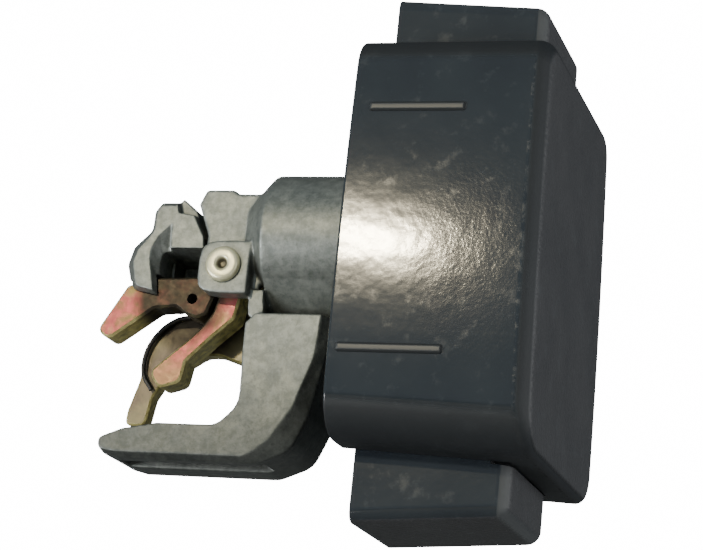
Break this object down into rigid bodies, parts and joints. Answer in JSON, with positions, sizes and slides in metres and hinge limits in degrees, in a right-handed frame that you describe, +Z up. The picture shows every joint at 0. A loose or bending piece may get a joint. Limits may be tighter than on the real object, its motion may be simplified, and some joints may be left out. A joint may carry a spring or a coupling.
{
  "type": "push-button claw latch",
  "caption": "Push-button compartment latch: a dark plastic pad on a guide bar drives a plunger in a die-cast body, and a steel claw turns on a rivet above a hook arm.",
  "frame": {"origin": "where the barrel axis meets the panel seat, the plane of the front faces of the guide bar's two tabs", "axes": "+X out of the panel towards the user along the barrel axis, +Y along the pivot rivet, +Z up"},
  "size_m": [0.0713, 0.0462, 0.0778],
  "materials": {
    "zinc_casting": "as-cast zinc alloy, mottled light grey, slightly rough",
    "pad_plastic": "dark blue-grey moulding, smooth on the sides and fine leather grain on the front",
    "bar_plastic": "dark blue-grey moulding, fine grain with glossy sides",
    "yellow_zinc": "steel with yellow passivated zinc plating and pink iridescence",
    "rivet_zinc": "pale yellow plated rivet, satin",
    "plated_bright": "bright zinc plated steel",
    "spring_black": "black oiled spring wire",
    "spring_steel": "plain spring steel",
    "rubber_black": "black rubber"
  },
  "bodies": {
    "lock": {"lock_body": "zinc_casting", "guide_bar": "bar_plastic", "barrel_washer": "plated_bright", "barrel_nut": "plated_bright", "stop_screw_upper": "plated_bright", "stop_screw_lower": "plated_bright", "bumper_upper": "rubber_black", "bumper_lower": "rubber_black", "pivot_rivet": "rivet_zinc", "rivet_collar": "rivet_zinc", "pawl_pin": "plated_bright"},
    "button": {"push_pad": "pad_plastic", "plunger": "plated_bright", "spring_cup": "plated_bright", "return_spring": "spring_steel", "stop_clip_near": "spring_steel", "stop_clip_far": "spring_steel"},
    "claw": {"claw_fork": "yellow_zinc", "claw_hook": "yellow_zinc", "hub_bush": "plated_bright", "claw_spring": "spring_black", "release_lever": "zinc_casting"},
    "pawl": {"pawl": "yellow_zinc", "pawl_spring": "spring_steel"}
  },
  "joints": [
    {"name": "button_push", "type": "slide", "parent": "lock", "child": "button", "axis": [-1, 0, 0], "range_m": [0, 0.0025], "stiffness_N_per_m": 900, "springref_m": -0.003, "deforming": ["return_spring"]},
    {"name": "claw_turn", "type": "hinge", "parent": "lock", "child": "claw", "pos_m": [-0.0465, 0, -0.0058], "axis": [0, -1, 0], "range_deg": [0, 24], "stiffness_Nm_per_rad": 0.02, "springref_deg": -34.38},
    {"name": "pawl_turn", "type": "hinge", "parent": "lock", "child": "pawl", "pos_m": [-0.0481, 0, 0.003], "axis": [0, 1, 0], "range_deg": [0, 12]}
  ],
  "couplings": [
    {"joint": "pawl_turn", "follows": "button_push", "rad_per_m": 83}
  ]
}
